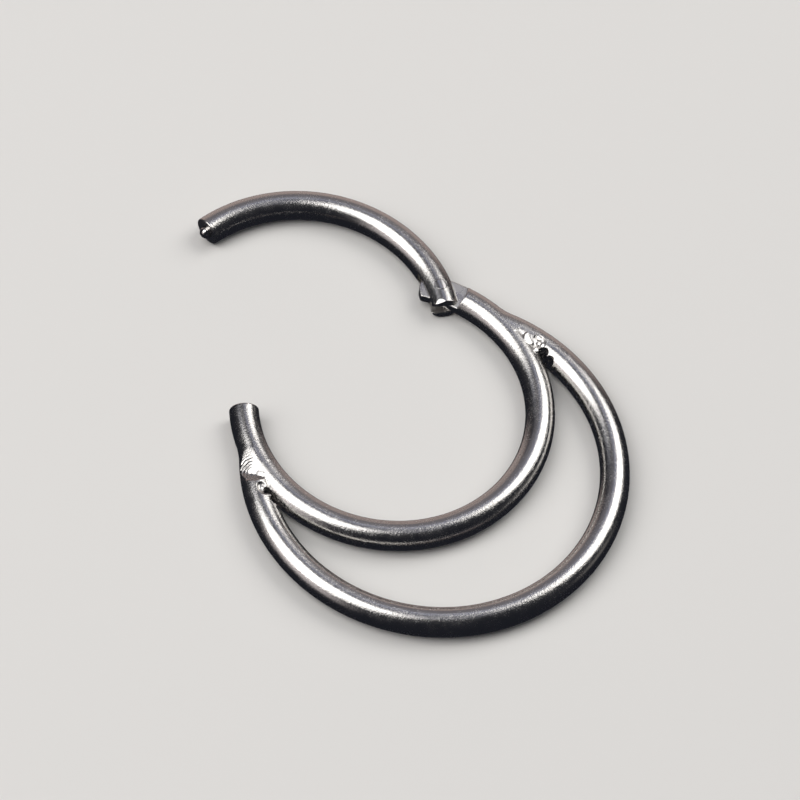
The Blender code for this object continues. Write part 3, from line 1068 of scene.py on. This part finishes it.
class RING_OT_gate(bpy.types.Operator):
    """Builds the hinged gate with its fork and its drilled free end"""

    bl_idname = "ring.gate"
    bl_label = "Gate"

    def execute(self, context):
        plan = RingPlan(context.scene.ring_sizes)
        finish = tumbled_steel("tumble_polished_316_steel_gate", context.scene)
        radii = (plan.hoop_radius - plan.radius - MARGIN, plan.hoop_radius + plan.radius + MARGIN)
        heights = (-MARGIN, plan.wire + MARGIN)
        fork_end = plan.hinge_angle - plan.reach_angle - PAST_END
        slot_root = plan.hinge_angle + plan.knuckle / plan.hoop_radius + PAST_SLOT
        seat_root = plan.latch_angle - plan.tip_seat / plan.hoop_radius - PAST_SEAT
        fine = {"radii": radii, "heights": heights, **GATE_CELLS}
        blocks = [
            {"turns": (fork_end, slot_root), **fine},
            {"turns": (seat_root, plan.latch_angle + PAST_END), **fine},
        ]
        seam = SEAM / plan.hoop_radius
        stretches = [(plan.hoop, plan.hoop_radius, slot_root + seam, seat_root - seam)]
        gate = steel_object(
            "polished_gate", plan, lambda p: gate_field(plan, p), blocks, stretches, finish, -CLOSED_TURN
        )
        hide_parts("gate")
        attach(gate, "gate")
        return {"FINISHED"}


class RING_OT_pin(bpy.types.Operator):
    """Builds the hinge pin, ground flush with the round of the wire"""

    bl_idname = "ring.pin"
    bl_label = "Hinge Pin"

    def execute(self, context):
        plan = RingPlan(context.scene.ring_sizes)
        finish = turned_steel("ground_steel_pin", context.scene.ring_finish.pin, 0.16, 0.26)
        half = plan.pin / 2.0 + PIN_MARGIN
        reach = half / plan.hoop_radius
        block = {
            "radii": (plan.hoop_radius - half, plan.hoop_radius + half),
            "turns": (plan.hinge_angle - reach, plan.hinge_angle + reach),
            "heights": (-MARGIN, plan.wire + MARGIN),
            **PIN_CELLS,
        }
        pin = steel_object(
            "flush_hinge_pin", plan, lambda p: pin_field(plan, p), [block], [], finish, -CLOSED_TURN
        )
        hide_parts("hinge_pin")
        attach(pin, "gate")
        return {"FINISHED"}


# Faces round the latch tip, rings of them from its straight side to the top of its dome, and the bevel
# on the hidden end of its shank, in millimetres.
TIP_SIDES = 64
DOME_RINGS = 14
SHANK_BEVEL = 0.03


class RING_OT_tip(bpy.types.Operator):
    """Builds the latch tip with its domed end"""

    bl_idname = "ring.tip"
    bl_label = "Latch Tip"

    def execute(self, context):
        plan = RingPlan(context.scene.ring_sizes)
        finish = turned_steel("bright_turned_steel_tip", context.scene.ring_finish.tip, 0.08, 0.16)
        radius = plan.tip / 2.0
        straight = plan.tip_reach - radius
        outline = [
            (0.0, -plan.tip_seat),
            (radius - SHANK_BEVEL, -plan.tip_seat),
            (radius, SHANK_BEVEL - plan.tip_seat),
        ]
        for ring in range(DOME_RINGS):
            rise = math.pi / 2.0 * ring / DOME_RINGS
            outline.append((radius * math.cos(rise), straight + radius * math.sin(rise)))
        outline.append((0.0, plan.tip_reach))
        middle = plan.on_hoop(plan.latch_angle)
        place = (
            Matrix.Translation(HINGE)
            @ Matrix.Rotation(-CLOSED_TURN, 4, "Z")
            @ Matrix.Translation(-HINGE)
            @ Matrix.Translation((middle[0] * MM, middle[1] * MM, plan.radius * MM))
            @ Matrix.Rotation(plan.latch_angle - math.pi / 2.0, 4, "Z")
            @ Matrix.Rotation(-math.pi / 2.0, 4, "Y")
        )
        tip = lathed("domed_latch_tip", place, outline, TIP_SIDES, finish)
        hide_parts("latch_tip")
        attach(tip, "gate")
        return {"FINISHED"}


class Glow(NamedTuple):
    """A softbox or a dim wall, as seen from the ring.

    Its middle lies at an azimuth from +Y towards +X and at an elevation, and these, its width and its
    height are in degrees. Its share is of the key light's radiance. Its border, where it fades, is a
    share of the half width; a glow without one is an ellipse.
    """

    azimuth: float
    elevation: float
    width: float
    height: float
    share: float
    border: float
    colour: str


LIGHTS = {
    "softbox_left": Glow(-109, 57, 43, 60, 1.00, 0.0, "#FFFDFC"),
    "softbox_right": Glow(49, 48, 40, 43, 1.00, 0.0, "#FFFDFA"),
    "wall_behind": Glow(-10, -8, 92, 72, 0.15, 0.5, "#FFE9E2"),
    "wall_above": Glow(-5, 40, 74, 46, 0.07, 0.6, "#F0EAF4"),
    "haze_above": Glow(8, 62, 42, 20, 0.15, 0.7, "#DFE4FF"),
    "ceiling": Glow(20, 84, 44, 36, 0.06, 0.6, "#E6E8FC"),
    "spill_left": Glow(-66, 42, 20, 36, 0.10, 0.8, "#ECEFFF"),
    "wall_left": Glow(-122, 18, 62, 50, 0.24, 0.8, "#F6ECEC"),
    "wall_right": Glow(90, 8, 34, 26, 0.07, 0.8, "#F2ECE4"),
}
FLOOR_FILL = Glow(0, 90, 90, 90, 1.00, 0.0, "#FFFFFF")

# How far the lights stand from the ring, in metres.
LIGHT_DISTANCE = 0.30

# The camera as fitted to the photograph: where it looks on the floor, in millimetres from the hoop's
# centre, its elevation and roll in degrees, its distance in millimetres, and its lens.
LOOK_FROM_HOOP = (0.269, 0.761)
CAMERA_ELEVATION = 57.85
CAMERA_ROLL = 7.58
CAMERA_DISTANCE = 162.5
CAMERA_LENS = 180.0

# The floor's radius, and how far it lies below the ring, in metres.
FLOOR_RADIUS = 1.5
FLOOR_SINK = 0.00001


def direction(azimuth, elevation):
    """Unit vector towards an azimuth and an elevation in degrees."""
    a, e = math.radians(azimuth), math.radians(elevation)
    return Vector((math.sin(a) * math.cos(e), math.cos(a) * math.cos(e), math.sin(e)))


def soften_border(data, border):
    """Lets a panel's light fade towards its border."""
    data.use_nodes = True
    tree = data.node_tree
    across = add_node(tree, "ShaderNodeNewGeometry").outputs["Parametric"]
    split = add_node(tree, "ShaderNodeSeparateXYZ", inputs={0: across}).outputs
    fade = 1.0
    for side in (split["X"], split["Y"]):
        centred = add_node(
            tree, "ShaderNodeMath", {"operation": "MULTIPLY_ADD"}, {0: side, 1: 2.0, 2: -1.0}
        ).outputs[0]
        off = add_node(tree, "ShaderNodeMath", {"operation": "ABSOLUTE"}, {0: centred}).outputs[0]
        smooth = add_node(
            tree,
            "ShaderNodeMapRange",
            {"interpolation_type": "SMOOTHSTEP"},
            {"Value": off, "From Min": 1.0 - border, "From Max": 1.0, "To Min": 1.0, "To Max": 0.0},
        ).outputs["Result"]
        fade = add_node(tree, "ShaderNodeMath", {"operation": "MULTIPLY"}, {0: smooth, 1: fade}).outputs[0]
    tree.links.new(fade, tree.nodes["Emission"].inputs["Strength"])


def add_glow(name, glow, radiance):
    """An area light that fills a glow's angles as seen from the ring."""
    data = bpy.data.lights.new(name, "AREA")
    data.shape = "RECTANGLE" if glow.border else "ELLIPSE"
    data.size = 2.0 * LIGHT_DISTANCE * math.tan(math.radians(glow.width) / 2.0)
    data.size_y = 2.0 * LIGHT_DISTANCE * math.tan(math.radians(glow.height) / 2.0)
    data.energy = radiance * math.pi * data.size * data.size_y
    if glow.border:
        soften_border(data, glow.border)
    else:
        data.energy *= math.pi / 4.0
    data.color = linear_colour(glow.colour)[:3]
    light = add_object(name, data)
    towards = direction(glow.azimuth, glow.elevation)
    light.location = towards * LIGHT_DISTANCE
    light.rotation_euler = towards.to_track_quat("Z", "Y").to_euler()
    light.visible_camera = False
    return light


def add_floor(colour):
    """A matt pale board, which the steel doesn't reflect: the wire keeps its dark undersides."""
    bm = bmesh.new()
    bmesh.ops.create_circle(bm, cap_ends=True, segments=96, radius=FLOOR_RADIUS)
    mesh = bpy.data.meshes.new("pale_floor")
    bm.to_mesh(mesh)
    bm.free()
    board = coated("matt_pale_board", colour, Roughness=0.9, Specular_IOR_Level=0.1)[0]
    mesh.materials.append(board)
    floor = add_object("pale_floor", mesh)
    floor.location.z = -FLOOR_SINK
    floor.visible_glossy = False
    floor.visible_shadow = False
    return floor


def studio_world():
    """A dim blue-grey surround for the steel, which the camera sees as a pale one."""
    world = bpy.data.worlds.new("studio")
    world.use_nodes = True
    tree = world.node_tree
    surround = tree.nodes["Background"]
    surround.inputs["Color"].default_value = linear_colour("#2A2C34")
    surround.inputs["Strength"].default_value = 0.7
    pale = linear_colour("#D8D8D6")
    seen = add_node(tree, "ShaderNodeBackground", inputs={"Color": pale, "Strength": 1.0})
    path = add_node(tree, "ShaderNodeLightPath")
    mixed = add_node(
        tree,
        "ShaderNodeMixShader",
        inputs={0: path.outputs["Is Camera Ray"], 1: surround.outputs[0], 2: seen.outputs[0]},
    )
    tree.links.new(mixed.outputs[0], tree.nodes["World Output"].inputs["Surface"])
    return world


def photo_camera(plan):
    """The camera at the photograph's angle."""
    look = Vector((plan.hoop[0] + LOOK_FROM_HOOP[0], plan.hoop[1] + LOOK_FROM_HOOP[1], 0.0)) * MM
    elevation = math.radians(CAMERA_ELEVATION)
    roll = math.radians(CAMERA_ROLL)
    back = Vector((0.0, -math.cos(elevation), math.sin(elevation)))
    level = Vector((1.0, 0.0, 0.0))
    rise = back.cross(level)
    right = math.cos(roll) * level + math.sin(roll) * rise
    up = math.cos(roll) * rise - math.sin(roll) * level
    data = bpy.data.cameras.new("photo_camera")
    data.lens = CAMERA_LENS
    data.sensor_width = 36.0
    data.clip_start = 0.005
    data.clip_end = 10.0
    camera = add_object("photo_camera", data)
    place = Matrix.Translation(look + CAMERA_DISTANCE * MM * back)
    camera.matrix_world = place @ Matrix((right, up, back)).transposed().to_4x4()
    return camera


class RING_OT_stage(bpy.types.Operator):
    """Builds the pale floor, the softboxes and the camera"""

    bl_idname = "ring.stage"
    bl_label = "Stage"

    def execute(self, context):
        finish = context.scene.ring_finish
        floor = add_floor(finish.floor)
        for name, glow in LIGHTS.items():
            add_glow(name, glow, finish.key * glow.share)
        fill = add_glow("fill_overhead", FLOOR_FILL, finish.fill)
        fill.visible_glossy = False
        context.scene.world = studio_world()
        context.scene.view_settings.view_transform = "Standard"
        context.scene.camera = photo_camera(RingPlan(context.scene.ring_sizes))
        return {"FINISHED"}


class RING_PT_panel(bpy.types.Panel):
    """Lists the ring's sizes and the operators that build it"""

    bl_label = "Clicker Ring"
    bl_space_type = "VIEW_3D"
    bl_region_type = "UI"
    bl_category = "Ring"

    def draw(self, context):
        for group in (context.scene.ring_sizes, context.scene.ring_finish):
            for name in group.__annotations__:
                self.layout.prop(group, name)
        for operator in OPERATORS:
            self.layout.operator(operator.bl_idname)


OPERATORS = (RING_OT_hoops, RING_OT_gate, RING_OT_pin, RING_OT_tip, RING_OT_stage)
CLASSES = (RingSizes, RingFinish, *OPERATORS, RING_PT_panel)


def register():
    """Registers the classes and gives each scene the ring's properties."""
    for cls in CLASSES:
        bpy.utils.register_class(cls)
    bpy.types.Scene.ring_sizes = PointerProperty(type=RingSizes)
    bpy.types.Scene.ring_finish = PointerProperty(type=RingFinish)


def unregister():
    """Takes the properties and the classes away again."""
    del bpy.types.Scene.ring_finish
    del bpy.types.Scene.ring_sizes
    for cls in reversed(CLASSES):
        bpy.utils.unregister_class(cls)


def main():
    """Builds every piece and the stage."""
    register()
    bpy.ops.ring.hoops()
    bpy.ops.ring.gate()
    bpy.ops.ring.pin()
    bpy.ops.ring.tip()
    bpy.ops.ring.stage()


if __name__ == "__main__":
    main()
